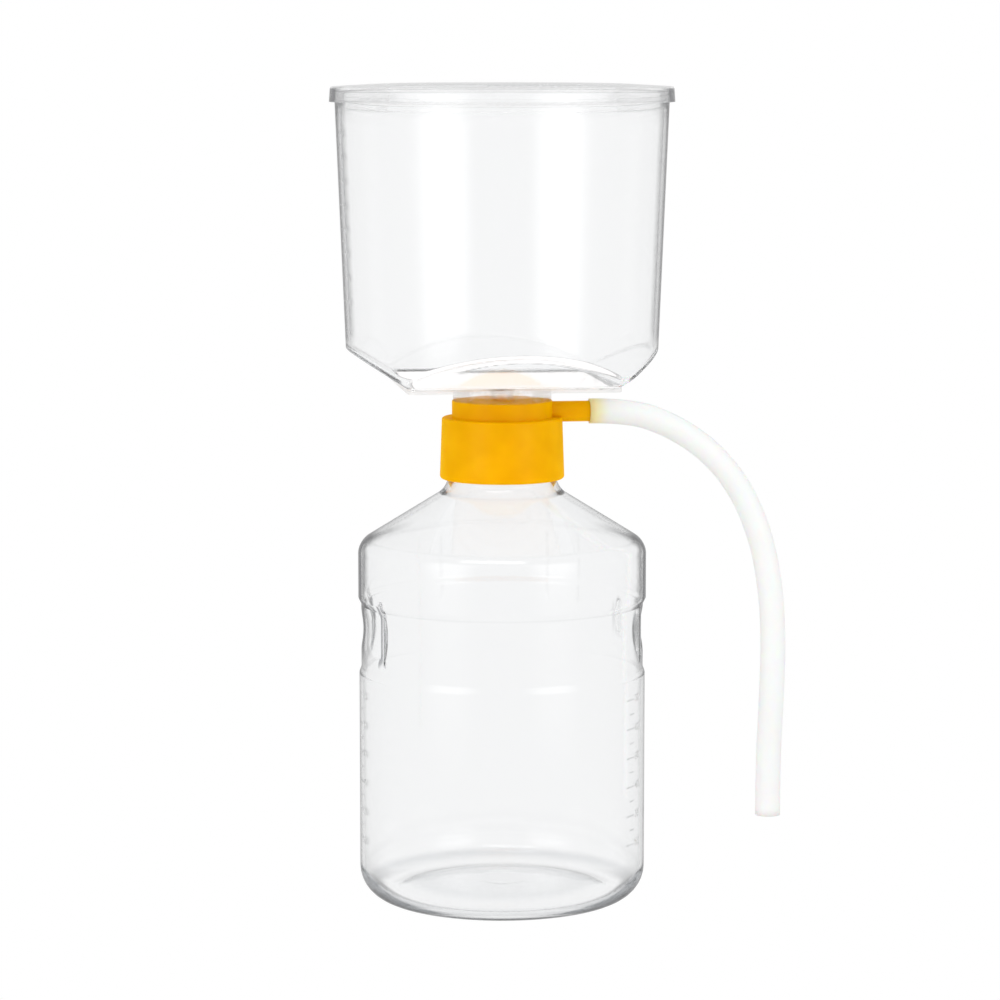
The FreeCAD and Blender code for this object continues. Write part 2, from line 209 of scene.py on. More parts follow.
# %% Closed shells
def joined_shell(name, skins):
    """One closed shell from an outer and an inner skin: shared rims merge, parted rims are bridged."""
    bm = bmesh.new()
    for skin in skins:
        part = bpy.data.meshes.new(name + "_skin")
        skin.to_mesh(part)
        skin.free()
        bm.from_mesh(part)
        bpy.data.meshes.remove(part)
    bmesh.ops.remove_doubles(bm, verts=bm.verts[:], dist=SAME_PLACE)
    rims = [e for e in bm.edges if len(e.link_faces) == 1]
    if rims:
        bmesh.ops.bridge_loops(bm, edges=rims)
    bmesh.ops.recalc_face_normals(bm, faces=bm.faces[:])
    mesh = bpy.data.meshes.new(name)
    bm.to_mesh(mesh)
    open_edges = sum(1 for e in bm.edges if len(e.link_faces) != 2)
    volume = bm.calc_volume(signed=True)
    bm.free()
    mesh.shade_smooth()
    mesh.set_sharp_from_angle(angle=SHARP_EDGE)
    piece = bpy.data.objects.new(name, mesh)
    scene.collection.objects.link(piece)
    triangles = sum(len(p.vertices) - 2 for p in mesh.polygons)
    print(name, "triangles", triangles, "open edges", open_edges, "cm3", round(volume * 1e6, 1))
    return piece


print("points of two skins join within", SAME_PLACE / MM, "mm")


# %% Soft steps
def soft_step(value):
    """0 below 0, 1 above 1, and a smooth rise between."""
    value = min(1.0, max(0.0, value))
    return value * value * (3 - 2 * value)


def soft_excess(value, blend):
    """max(value, 0) with its corner rounded over a blend length."""
    share = min(1.0, max(0.0, 0.5 + 0.5 * value / blend))
    return value * share + blend * share * (1 - share)


print("a corner softened over 1 mm lies", soft_excess(0.0, 1.0), "mm off the sharp one")

# %% [markdown]
# ## The bottle
#
# The real bottle is blown in one piece: a domed base, a rounded heel, a waist with two finger grips,
# a conical shoulder and a threaded neck. A boolean could cut the grips, but it leaves long thin
# faces that show as streaks in clear plastic. Here each skin is turned smooth, and its points are
# pressed in towards the grip's floor, so that the faces stay even and the lips of the grips soft. One
# end of one grip runs out more gently than the rest. The thread is raised on the neck in the same way,
# and an attribute marks the corners at the ends of the grips, where the plastic is thick, for the
# finish to paint shade there.

# %% Sizes of the bottle, in millimetres
NECK_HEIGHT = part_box("receiver_bottle")[1].z / MM
BODY_R = 54.8
BAND_R = 55.1
WAIST_R = 54.0
NECK_R = 20.6
BOTTLE_WALL = 1.4
NECK_WALL = 2.4
BOTTLE_FLOOR = 2.6
HEEL_R = 12.5
FOOT_R = 40.3
PUSH_UP = 4.6
WAIST_BOTTOM = 90.0
WAIST_TOP = 116.8
WAIST_STEP = 2.2
SHOULDER_SLOPE = math.radians(31.7)
SHOULDER_RISE = (BAND_R - NECK_R) * math.tan(SHOULDER_SLOPE)
NECK_LENGTH = 23.1
SHOULDER_Z = NECK_HEIGHT - NECK_LENGTH - SHOULDER_RISE
print("the shoulder's line meets the band at", round(SHOULDER_Z, 1), "mm")

# %% Finger grips
GRIP_AXIS_X = 17.5
GRIP_STEP = 0.6
GRIP_FLOOR_R = WAIST_R - GRIP_STEP - GRIP_AXIS_X
GRIP_SCOOP_R = 26.0
GRIP_HALF_WIDTH = 19.3
GRIP_Z = 105.0
GRIP_TOP = 122.0
GRIP_CLOCK = math.radians(3)
GRIP_LIP = 0.5
GRIP_END = 0.8
FAINT_GRIP_HALF_WIDTH = GRIP_HALF_WIDTH - 2.5
FAINT_GRIP_END = 8.0


def grip_pressed(place, wall):
    """A point of the bottle's skin, moved in to the floor of a finger grip."""
    turned = Matrix.Rotation(-GRIP_CLOCK, 3, "Z") @ place / MM
    scoop = GRIP_SCOOP_R + wall
    side = math.copysign(1, turned.x)
    rise = turned.z - GRIP_Z
    out = side * turned.x - GRIP_AXIS_X
    if abs(rise) >= scoop or out <= 0:
        return place
    away = math.hypot(out, turned.y)
    floor_r = GRIP_FLOOR_R + GRIP_SCOOP_R - math.sqrt(scoop ** 2 - rise ** 2)
    faint = turned.x > 0 and turned.y > 0
    half_width = FAINT_GRIP_HALF_WIDTH if faint else GRIP_HALF_WIDTH
    end = FAINT_GRIP_END if faint else GRIP_END
    inside = soft_step((half_width + wall + end / 2 - abs(turned.y)) / end)
    share = 1 - soft_excess(away - floor_r, GRIP_LIP) * inside / away
    pressed = Vector((side * (GRIP_AXIS_X + out * share), turned.y * share, turned.z)) * MM
    return Matrix.Rotation(GRIP_CLOCK, 3, "Z") @ pressed


waist_point = Matrix.Rotation(GRIP_CLOCK, 3, "Z") @ Vector((WAIST_R, 0, GRIP_Z)) * MM
print("the grips go in", round((waist_point - grip_pressed(waist_point, 0)).length / MM, 2), "mm")

# %% Neck thread
THREAD_PITCH = 4.0
THREAD_TURNS = 2.3
THREAD_START = 167.0
THREAD_HEIGHT = 0.7
THREAD_CREST = 0.55
THREAD_FLANK = 0.8
THREAD_RUN_OUT = 0.08


def thread_height(place):
    """Height of the neck's right-handed thread at a point, in millimetres."""
    around = (math.atan2(place.y, place.x) / math.tau) % 1.0
    best = 0.0
    for turn in range(math.ceil(THREAD_TURNS) + 1):
        along = turn + around
        if along < THREAD_TURNS:
            off = abs(place.z / MM - THREAD_START - THREAD_PITCH * along)
            flank = soft_step((THREAD_CREST + THREAD_FLANK - off) / THREAD_FLANK)
            fade = soft_step(min(along, THREAD_TURNS - along) / THREAD_RUN_OUT)
            best = max(best, flank * fade)
    return best * THREAD_HEIGHT


print("the thread rises", THREAD_PITCH * THREAD_TURNS, "mm over", THREAD_TURNS, "turns")

# %% Roundings and grain of the bottle's mesh, in millimetres
DOME_FLAT_R = 20.0
DOME_ROUND = 90.0
FOOT_ROUND = 6.0
STEP_ROUND = 1.5
BAND_ROUND = 1.0
SHOULDER_ROUND = 7.0
NECK_ROUND = 8.0
MOUTH_ROUND = 0.5
GRIP_GRAIN = 0.7
THREAD_GRAIN = 0.4
THREAD_MARGIN = 2.0
PLAIN_MOUTH = 1.0
BOTTLE_STEPS = 360
print("a step round the bottle is", round(math.tau * BODY_R / BOTTLE_STEPS, 2), "mm wide")


# %% Bottle
def bottle_skin(wall, neck_wall, base):
    """One skin of the bottle, set in from the outside by its walls."""
    neck_r = NECK_R - neck_wall
    slope = SHOULDER_SLOPE
    shoulder_z = SHOULDER_Z - wall * (1 / math.cos(slope) - math.tan(slope))
    neck_z = SHOULDER_Z + (BAND_R - neck_r) * math.tan(slope) - wall / math.cos(slope)
    bm = section_line([
        (0, PUSH_UP + base, 0),
        (DOME_FLAT_R, PUSH_UP + base, DOME_ROUND),
        (FOOT_R, base, FOOT_ROUND),
        (BODY_R - wall, base, HEEL_R - wall),
        (BODY_R - wall, WAIST_BOTTOM - WAIST_STEP, STEP_ROUND),
        (WAIST_R - wall, WAIST_BOTTOM, STEP_ROUND),
        (WAIST_R - wall, WAIST_TOP - WAIST_STEP, BAND_ROUND),
        (BAND_R - wall, WAIST_TOP, BAND_ROUND),
        (BAND_R - wall, GRIP_TOP, 0),
        (BAND_R - wall, shoulder_z, SHOULDER_ROUND - wall),
        (neck_r, neck_z, NECK_ROUND + wall),
        (neck_r, NECK_HEIGHT, MOUTH_ROUND if wall == 0 else 0),
        (NECK_R - NECK_WALL / 2, NECK_HEIGHT, 0),
    ])
    refined(bm, WAIST_BOTTOM, GRIP_TOP, GRIP_GRAIN)
    if wall == 0:
        refined(bm, THREAD_START - THREAD_MARGIN, NECK_HEIGHT - THREAD_MARGIN, THREAD_GRAIN)
    spun(bm, BOTTLE_STEPS)
    for vert in bm.verts:
        height = vert.co.z / MM
        if WAIST_BOTTOM < height < SHOULDER_Z:
            vert.co = grip_pressed(vert.co, wall)
        elif wall == 0 and THREAD_START - THREAD_MARGIN < height < NECK_HEIGHT - PLAIN_MOUTH:
            radius = math.hypot(vert.co.x, vert.co.y)
            grown = 1 + thread_height(vert.co) * MM / radius
            vert.co.x *= grown
            vert.co.y *= grown
    return bm


bottle = joined_shell("bottle", [bottle_skin(0, 0, 0), bottle_skin(BOTTLE_WALL, NECK_WALL, BOTTLE_FLOOR)])
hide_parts("receiver_bottle")
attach(bottle, "bottle")

# %% Corners of the grips, where shade is painted
CORNER_RISE = 12.0
CORNER_INNER = -1.2
CORNER_OUTER = BOTTLE_WALL + GRIP_END
CORNER_START = 0.6


def corner_thickness(place):
    """1 in the corners at the ends of the finger grips, but for the faint one, where shade is painted, and 0
    elsewhere.
    """
    turned = Matrix.Rotation(-GRIP_CLOCK, 3, "Z") @ place / MM
    rise = turned.z - GRIP_Z
    aside = abs(turned.y) - GRIP_HALF_WIDTH
    faint = turned.x > 0 and turned.y > 0
    if faint or abs(rise) > CORNER_RISE or not CORNER_INNER < aside < CORNER_OUTER:
        return 0.0
    floor_r = GRIP_FLOOR_R + GRIP_SCOOP_R - math.sqrt(GRIP_SCOOP_R ** 2 - rise ** 2)
    floor_x = math.sqrt(floor_r ** 2 - GRIP_HALF_WIDTH ** 2)
    return soft_step(abs(turned.x) - GRIP_AXIS_X - floor_x + CORNER_START)


# The attribute carries painted shade: the finish darkens the bottle's colour in these corners.
corners = bottle.data.attributes.new("painted_corner_shade", "FLOAT", "POINT")
thickness = [corner_thickness(v.co) for v in bottle.data.vertices]
corners.data.foreach_set("value", thickness)
print("points in thick corners:", sum(1 for share in thickness if share > 0))

# %% [markdown]
# ## The funnel
#
# The funnel is a slightly tapered round wall that four sloping faces cut down to a square foot.
# Planes could cut it with bisect_plane and the cuts be bevelled, but the bevel breaks up where the
# slope and the wall meet at a shallow angle. So the wall is turned as a cone, and each point is
# drawn in to the rounded square of its own height, with the crease between them softened.

# %% Sizes of the funnel, in millimetres
PLATE_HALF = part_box("drain_plate")[1].x / MM
PLATE_CORNER_R = 3.4
FUNNEL_SLOPE = math.radians(31.3)
FUNNEL_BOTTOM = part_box("funnel")[0].z / MM
FUNNEL_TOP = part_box("funnel")[1].z / MM
RIM_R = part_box("funnel")[1].x / MM
RIM_LIP = 0.5
FUNNEL_R_AT_RIM = RIM_R - RIM_LIP
FUNNEL_TAPER = 4.3
FUNNEL_R_AT_FOOT = FUNNEL_R_AT_RIM - FUNNEL_TAPER
FOOT_RISE = 16.0
FUNNEL_WALL = 1.6
RIM_HEIGHT = 3.6
LIP_ROUND = 0.2
RIM_ROUND = 0.4
CREASE = 1.6
FOOT_GRAIN = 0.5
WALL_GRAIN = 10.0
FUNNEL_STEPS = 480
print("the foot is", round(2 * PLATE_HALF, 1), "mm square")


# %% Funnel
def square_reach(half, corner_r, angle):
    """Distance from the axis to a square with round corners, in one direction."""
    turn = angle % (math.pi / 2)
    turn = min(turn, math.pi / 2 - turn)
    flat = half - corner_r
    if half * math.tan(turn) <= flat:
        return half / math.cos(turn)
    lean = flat * (math.cos(turn) + math.sin(turn))
    return lean + math.sqrt(lean ** 2 - 2 * flat ** 2 + corner_r ** 2)


def funnel_skin(wall):
    """One skin of the funnel, set in from the outside by its wall."""
    corners = [(FUNNEL_R_AT_FOOT - wall, FUNNEL_BOTTOM, 0)]
    if wall == 0:
        corners.append((FUNNEL_R_AT_RIM, FUNNEL_TOP - RIM_HEIGHT, LIP_ROUND))
        corners.append((RIM_R, FUNNEL_TOP - RIM_HEIGHT, LIP_ROUND))
        corners.append((RIM_R, FUNNEL_TOP, RIM_ROUND))
    else:
        corners.append((FUNNEL_R_AT_RIM - wall, FUNNEL_TOP, 0))
    corners.append((FUNNEL_R_AT_RIM - FUNNEL_WALL / 2, FUNNEL_TOP, 0))
    bm = section_line(corners)
    bmesh.ops.bisect_plane(bm, geom=bm.verts[:] + bm.edges[:],
                           plane_co=(0, 0, (FUNNEL_BOTTOM + FOOT_RISE) * MM), plane_no=(0, 0, 1))
    refined(bm, FUNNEL_BOTTOM, FUNNEL_BOTTOM + FOOT_RISE, FOOT_GRAIN)
    refined(bm, FUNNEL_BOTTOM + FOOT_RISE, FUNNEL_TOP - RIM_HEIGHT, WALL_GRAIN)
    spun(bm, FUNNEL_STEPS)
    inset = wall / math.sin(FUNNEL_SLOPE)
    for vert in bm.verts:
        rise = vert.co.z / MM - FUNNEL_BOTTOM
        if rise < FOOT_RISE:
            spread = rise / math.tan(FUNNEL_SLOPE) - inset
            radius = math.hypot(vert.co.x, vert.co.y) / MM
            angle = math.atan2(vert.co.y, vert.co.x)
            limit = square_reach(PLATE_HALF + spread, PLATE_CORNER_R + spread, angle)
            drawn = (radius - soft_excess(radius - limit, CREASE)) / radius
            vert.co.x *= drawn
            vert.co.y *= drawn
    return bm


funnel = joined_shell("funnel_body", [funnel_skin(0), funnel_skin(FUNNEL_WALL)])
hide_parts("funnel")
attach(funnel, "head")

# %% [markdown]
# ## Graduations
#
# Bottle and funnel carry moulded marks: a bar at each hundred millilitres, a shorter one between,
# and the number beside it. A bump in the finish would be lost at the outline, where these marks show
# best, so they are real relief. Each mark is made flat, bars from a bevelled cube and numbers from
# Blender's own font, and then wrapped round the wall, half sunk into it.

# %% Flat marks
MARK_RELIEF = 0.24
BAR_HEIGHT = 0.5
LONG_BAR = 6.0
SHORT_BAR = 3.5
NUMBER_HEIGHT = 3.8
NUMBER_START = 1.2
BAR_CUTS = 7
BAR_SOFTNESS = 0.1
NUMBER_SOFTNESS = 0.04
NUMBER_STEPS = 4
MARK_SAME_PLACE = 0.002 * MM


def bar_mesh(length):
    """A flat bar that starts at x = 0, with its edges softened."""
    bm = bmesh.new()
    bmesh.ops.create_cube(bm, size=1)
    long_edges = [e for e in bm.edges if e.verts[0].co.x != e.verts[1].co.x]
    bmesh.ops.subdivide_edges(bm, edges=long_edges, cuts=BAR_CUTS)
    bmesh.ops.translate(bm, verts=bm.verts[:], vec=(0.5, 0, 0))
    bmesh.ops.scale(bm, verts=bm.verts[:], vec=(length * MM, BAR_HEIGHT * MM, MARK_RELIEF * MM))
    outer = [e for e in bm.edges if len(e.link_faces) == 2 and e.calc_face_angle() > SHARP_EDGE]
    bmesh.ops.bevel(bm, geom=outer, offset=BAR_SOFTNESS * MM, segments=2, profile=0.5,
                    affect="EDGES", material=-1)
    mesh = bpy.data.meshes.new("bar")
    bm.to_mesh(mesh)
    bm.free()
    return mesh


def number_mesh(number):
    """A number as a flat solid, its middle line at y = 0."""
    text = bpy.data.curves.new("number", "FONT")
    text.body = str(number)
    text.size = NUMBER_HEIGHT * MM
    text.align_y = "CENTER"
    text.extrude = MARK_RELIEF * MM / 2
    text.bevel_depth = NUMBER_SOFTNESS * MM
    text.resolution_u = NUMBER_STEPS
    item = bpy.data.objects.new("number", text)
    scene.collection.objects.link(item)
    mesh = bpy.data.meshes.new_from_object(item)
    bpy.data.objects.remove(item)
    return mesh


print("a bar is", LONG_BAR, "mm long and stands", MARK_RELIEF / 2, "mm proud")


# %% Marks round a wall
def wrapped_marks(name, marks):
    """One piece from marks of (flat mesh, bearing, start along the wall, height, wall radius)."""
    bm = bmesh.new()
    for mesh, bearing, start, height, wall_r in marks:
        before = len(bm.verts)
        bm.from_mesh(mesh)
        bm.verts.ensure_lookup_table()
        for vert in bm.verts[before:]:
            radius = wall_r * MM + vert.co.z
            angle = bearing + (start * MM + vert.co.x) / (wall_r * MM)
            vert.co = (radius * math.cos(angle), radius * math.sin(angle), height * MM + vert.co.y)
    bmesh.ops.remove_doubles(bm, verts=bm.verts[:], dist=MARK_SAME_PLACE)
    piece_mesh = bpy.data.meshes.new(name)
    bm.to_mesh(piece_mesh)
    bm.free()
    piece = bpy.data.objects.new(name, piece_mesh)
    scene.collection.objects.link(piece)
    print(name, "marks", len(marks), "faces", len(piece_mesh.polygons))
    return piece


def graduation_column(bearing, first, pitch, numbers, radius_at):
    """Bars and numbers up a wall; the short bars lie half way between the long ones."""
    long_bar = bar_mesh(LONG_BAR)
    short_bar = bar_mesh(SHORT_BAR)
    marks = []
    for i, number in enumerate(numbers):
        height = first + pitch * i
        marks.append((long_bar, bearing, -LONG_BAR, height, radius_at(height)))
        marks.append((number_mesh(number), bearing, NUMBER_START, height, radius_at(height)))
        if i:
            between = height - pitch / 2
            marks.append((short_bar, bearing, -SHORT_BAR, between, radius_at(between)))
    return marks


def bottle_wall_at(height):
    """Outer radius of the bottle's lower wall."""
    return BODY_R


def funnel_wall_at(height):
    """Outer radius of the funnel's tapered wall at a height."""
    return FUNNEL_R_AT_FOOT + FUNNEL_TAPER * (height - FUNNEL_BOTTOM) / (FUNNEL_TOP - FUNNEL_BOTTOM)


print("the funnel's wall is", round(2 * funnel_wall_at(FUNNEL_TOP), 1), "mm across at its top")

# %% Graduations
MARK_VOLUME = 100e3  # in cubic millimetres
RIGHT_TURN = math.radians(66)
LEFT_TURN = math.radians(76)
FIRST_BOTTLE_MARK = 24.9
LAST_FUNNEL_MARK = 294.0
BOTTLE_NUMBERS = range(200, 701, 100)
FUNNEL_NUMBERS = range(200, 901, 100)
BOTTLE_PITCH = MARK_VOLUME / (math.pi * (BODY_R - BOTTLE_WALL) ** 2)
FUNNEL_INNER_R = (FUNNEL_R_AT_RIM + FUNNEL_R_AT_FOOT) / 2 - FUNNEL_WALL
FUNNEL_PITCH = MARK_VOLUME / (math.pi * FUNNEL_INNER_R ** 2)
FIRST_FUNNEL_MARK = LAST_FUNNEL_MARK - (len(FUNNEL_NUMBERS) - 1) * FUNNEL_PITCH
camera_bearing = math.atan2(camera.location.y, camera.location.x)
bottle_columns = []
for bearing in (camera_bearing + RIGHT_TURN, camera_bearing - LEFT_TURN):
    bottle_columns += graduation_column(
        bearing, FIRST_BOTTLE_MARK, BOTTLE_PITCH, BOTTLE_NUMBERS, bottle_wall_at)
bottle_marks = wrapped_marks("bottle_graduations", bottle_columns)
funnel_marks = wrapped_marks("funnel_graduations", graduation_column(
    camera_bearing - LEFT_TURN, FIRST_FUNNEL_MARK, FUNNEL_PITCH, FUNNEL_NUMBERS, funnel_wall_at))
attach(bottle_marks, "bottle")
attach(funnel_marks, "head")
print("100 ml is", round(BOTTLE_PITCH, 2), "mm up the bottle and", round(FUNNEL_PITCH, 2), "mm up the funnel")

# %% [markdown]
# ## A shared moulded surface
#
# No moulded plastic is perfectly flat or even. The mould's polish leaves a fine grain, and the
# plastic shrinks a little as it cools, which leaves long shallow waves. All the pieces share this
# effect at different strengths, so it is one node group, built once. It gives a normal, a roughness
# and a slow variation that each finish uses for its colour. It reads Object coordinates, so the
# pattern keeps its size in metres on every piece.

# %% Moulded surface group
NOISE_RANGE = (0.3, 0.7)
WAVE_DETAIL = 1.0
GRAIN_DETAIL = 3.0


def moulded_surface_group():
    """The node group of waves and grain."""
    group = bpy.data.node_groups.new("moulded_surface", "ShaderNodeTree")
    for label in ("Wave Scale", "Wave Height", "Grain Scale", "Grain Height", "Smoothest", "Roughest"):
        group.interface.new_socket(name=label, in_out="INPUT", socket_type="NodeSocketFloat")
    group.interface.new_socket(name="Variation", in_out="OUTPUT", socket_type="NodeSocketFloat")
    group.interface.new_socket(name="Roughness", in_out="OUTPUT", socket_type="NodeSocketFloat")
    group.interface.new_socket(name="Normal", in_out="OUTPUT", socket_type="NodeSocketVector")
    given = group.nodes.new("NodeGroupInput")
    result = group.nodes.new("NodeGroupOutput")
    place = group.nodes.new("ShaderNodeTexCoord")
    waves = group.nodes.new("ShaderNodeTexNoise")
    waves.inputs["Detail"].default_value = WAVE_DETAIL
    grain = group.nodes.new("ShaderNodeTexNoise")
    grain.inputs["Detail"].default_value = GRAIN_DETAIL
    wave_bump = group.nodes.new("ShaderNodeBump")
    grain_bump = group.nodes.new("ShaderNodeBump")
    spread = group.nodes.new("ShaderNodeMapRange")
    spread.inputs["From Min"].default_value = NOISE_RANGE[0]
    spread.inputs["From Max"].default_value = NOISE_RANGE[1]
    links = group.links
    for noise, bump, kind in ((waves, wave_bump, "Wave"), (grain, grain_bump, "Grain")):
        links.new(place.outputs["Object"], noise.inputs["Vector"])
        links.new(given.outputs[kind + " Scale"], noise.inputs["Scale"])
        links.new(given.outputs[kind + " Height"], bump.inputs["Distance"])
        links.new(noise.outputs["Fac"], bump.inputs["Height"])
    links.new(wave_bump.outputs["Normal"], grain_bump.inputs["Normal"])
    links.new(grain.outputs["Fac"], spread.inputs["Value"])
    links.new(given.outputs["Smoothest"], spread.inputs["To Min"])
    links.new(given.outputs["Roughest"], spread.inputs["To Max"])
    links.new(waves.outputs["Fac"], result.inputs["Variation"])
    links.new(spread.outputs["Result"], result.inputs["Roughness"])
    links.new(grain_bump.outputs["Normal"], result.inputs["Normal"])
    return group


moulded_surface = moulded_surface_group()
print("group sockets:", [item.name for item in moulded_surface.interface.items_tree])


# %% Helpers for finishes
def shader(name, **values):
    """A material with its Principled shader set; words in a value's name are joined by _."""
    finish = bpy.data.materials.new(name)
    finish.use_nodes = True
    principled = finish.node_tree.nodes["Principled BSDF"]
    for key, value in values.items():
        principled.inputs[key.replace("_", " ")].default_value = value
    return finish, finish.node_tree, principled


def moulded(tree, principled, wave, grain, smooth, rough):
    """Place the moulded surface in a finish; wave and grain are (length, height) in millimetres."""
    surface = tree.nodes.new("ShaderNodeGroup")
    surface.node_tree = moulded_surface
    surface.inputs["Wave Scale"].default_value = 1 / (wave[0] * MM)
    surface.inputs["Wave Height"].default_value = wave[1] * MM
    surface.inputs["Grain Scale"].default_value = 1 / (grain[0] * MM)
    surface.inputs["Grain Height"].default_value = grain[1] * MM
    surface.inputs["Smoothest"].default_value = smooth
    surface.inputs["Roughest"].default_value = rough
    tree.links.new(surface.outputs["Roughness"], principled.inputs["Roughness"])
    tree.links.new(surface.outputs["Normal"], principled.inputs["Normal"])
    return surface


print("helpers for finishes: shader and moulded")


# %% Helpers for colours
def blended(tree, factor, low, high, start=NOISE_RANGE[0], end=NOISE_RANGE[1]):
    """A colour that runs from low to high as a factor goes from start to end."""
    ramp = tree.nodes.new("ShaderNodeValToRGB")
    ramp.color_ramp.elements[0].position = start
    ramp.color_ramp.elements[0].color = (*low, 1)
    ramp.color_ramp.elements[1].position = end
    ramp.color_ramp.elements[1].color = (*high, 1)
    tree.links.new(factor, ramp.inputs["Fac"])
    return ramp.outputs["Color"]


def mixed(tree, factor, low, high, kind="MIX"):
    """A Mix node of two colours, given as colours or as outputs."""
    mix = tree.nodes.new("ShaderNodeMix")
    mix.data_type = "RGBA"
    mix.blend_type = kind
    mix.inputs["Factor"].default_value = 1.0
    for value, socket in ((factor, mix.inputs["Factor"]), (low, mix.inputs["A"]), (high, mix.inputs["B"])):
        if isinstance(value, tuple):
            socket.default_value = (*value, 1)
        elif value is not None:
            tree.links.new(value, socket)
    return mix.outputs["Result"]


def painted(finish):
    """A finish's tree, its shader and the output that gives its base colour so far."""
    principled = finish.node_tree.nodes["Principled BSDF"]
    return finish.node_tree, principled, principled.inputs["Base Color"].links[0].from_socket


print("helpers for colours: blended, mixed and painted")


# %% Helpers for masks
def facing(tree):
    """0 on a face seen square on and 1 on a face seen edge on."""
    weight = tree.nodes.new("ShaderNodeLayerWeight")
    weight.inputs["Blend"].default_value = 0.5
    return weight.outputs["Facing"]


def coordinate(tree, kind, axis):
    """One axis of the Object coordinates or of the Normal."""
    place = tree.nodes.new("ShaderNodeTexCoord")
    parts = tree.nodes.new("ShaderNodeSeparateXYZ")
    tree.links.new(place.outputs[kind], parts.inputs["Vector"])
    return parts.outputs[axis]


def level(tree, value, low, high, smooth=False):
    """0 where a value is low and 1 where it is high."""
    rise = tree.nodes.new("ShaderNodeMapRange")
    rise.interpolation_type = "SMOOTHSTEP" if smooth else "LINEAR"
    rise.inputs["From Min"].default_value = low
    rise.inputs["From Max"].default_value = high
    tree.links.new(value, rise.inputs["Value"])
    return rise.outputs["Result"]


def height_level(tree, low, high, smooth=True):
    """0 at one height and 1 at another, in millimetres."""
    return level(tree, coordinate(tree, "Object", "Z"), low * MM, high * MM, smooth)


print("helpers for masks: facing, coordinate, level and height_level")


# %% Helpers for numbers
def ranged(tree, value, low, high):
    """low where a value is 0 and high where it is 1."""
    spread = tree.nodes.new("ShaderNodeMapRange")
    spread.inputs["To Min"].default_value = low
    spread.inputs["To Max"].default_value = high
    tree.links.new(value, spread.inputs["Value"])
    return spread.outputs["Result"]


def worked(tree, operation, *values):
    """A Math node on outputs or plain numbers."""
    work = tree.nodes.new("ShaderNodeMath")
    work.operation = operation
    for value, socket in zip(values, work.inputs):
        if isinstance(value, float):
            socket.default_value = value
        else:
            tree.links.new(value, socket)
    return work.outputs["Value"]


def levelness(tree):
    """0 on an upright face and 1 on a level one."""
    return worked(tree, "ABSOLUTE", coordinate(tree, "Normal", "Z"))


print("helpers for numbers: ranged, worked and levelness")

# %% [markdown]
# ## Clear polystyrene
#
# Bottle, funnel and lid are clear, with a faint grey. Part of it is a slight tint of the surface, and
# part is absorption inside the wall, which is strongest where light runs a long way in the plastic.
# More absorption would do away with the tint, but it would also turn the rounded heel black, because
# light is mirrored many times inside it. A narrow Layer Weight paints a dark outline into the colour
# where a face is seen edge on: painted shade, standing in for the dark outline that clear plastic
# shows against a white background.

# %% Clear finishes
CLEAR_FACE = (0.975, 0.978, 0.98)
INSIDE_COLOUR = (0.48, 0.5, 0.52, 1)
OUTLINE_SHADE_END = 0.98
LID_ALPHA = 0.24


def clear_plastic(name, density, edge, outline_shade_start, wave_height, alpha=1.0):
    """Clear plastic: how much it absorbs inside, the colour of its painted shade seen edge on, and where that
    begins.
    """
    finish, tree, principled = shader(name, IOR=1.5, Transmission_Weight=1.0, Alpha=alpha)
    moulded(tree, principled, wave=(22.0, wave_height), grain=(1.4, 0.002), smooth=0.01, rough=0.05)
    # Painted shade: the colour runs to the edge colour where a face is seen edge on, a painted dark outline.
    outline_shaded_colour = blended(tree, facing(tree), CLEAR_FACE, edge, outline_shade_start, OUTLINE_SHADE_END)
    tree.links.new(outline_shaded_colour, principled.inputs["Base Color"])
    if density:
        inside = tree.nodes.new("ShaderNodeVolumeAbsorption")
        inside.inputs["Color"].default_value = INSIDE_COLOUR
        inside.inputs["Density"].default_value = density
        tree.links.new(inside.outputs["Volume"], tree.nodes["Material Output"].inputs["Volume"])
    print(name, "absorbs with density", density, "and is", alpha, "solid")
    return finish


# Each edge colour below is the painted shade of that piece's outline.
bottle_clear = clear_plastic("bottle_clear", density=14.0, edge=(0.12, 0.125, 0.135),
                             outline_shade_start=0.79, wave_height=0.03)
funnel_clear = clear_plastic("funnel_clear", density=5.0, edge=(0.35, 0.35, 0.36),
                             outline_shade_start=0.84, wave_height=0.012)
plate_clear = clear_plastic("plate_clear", density=0.0, edge=(0.9, 0.9, 0.9),
                            outline_shade_start=0.94, wave_height=0.012, alpha=0.3)
lid_clear = clear_plastic("lid_clear", density=3.0, edge=(0.85, 0.85, 0.86),
                          outline_shade_start=0.95, wave_height=0.012, alpha=LID_ALPHA)
marks_clear = clear_plastic("marks_clear", density=0.0, edge=(0.8, 0.8, 0.82),
                            outline_shade_start=0.9, wave_height=0.01, alpha=0.5)

# %% [markdown]
# ## Painted shade in the bottle
#
# A blown bottle has thicker plastic where the hot tube stretched least: round the waist and the band
# above it, in the corners at the ends of the grips, and in the heel. There the finish paints shade into
# the colour: dark outlines, dark corners and a grey band round the heel. The corners are in the attribute
# that was written on the mesh, and masks on the height, in Object coordinates, give the rest. Near the
# foot the painted dark edge belongs to the rounding only, so the level parts of the base are left out by
# the slant of the surface.

# %% Painted shade at the waist and grip corners
WAIST_START = (82.0, 100.0)
WAIST_END = (144.0, 140.5)
WAIST_OUTLINE_SHADE = (0.01, 0.01, 0.012)
WAIST_FACING = (0.7, 0.81)
CORNER_SHADE_COLOUR = (0.2, 0.205, 0.215)
tree, principled, colour_before_waist_shade = painted(bottle_clear)
waist = worked(tree, "MINIMUM", height_level(tree, *WAIST_START), height_level(tree, *WAIST_END))
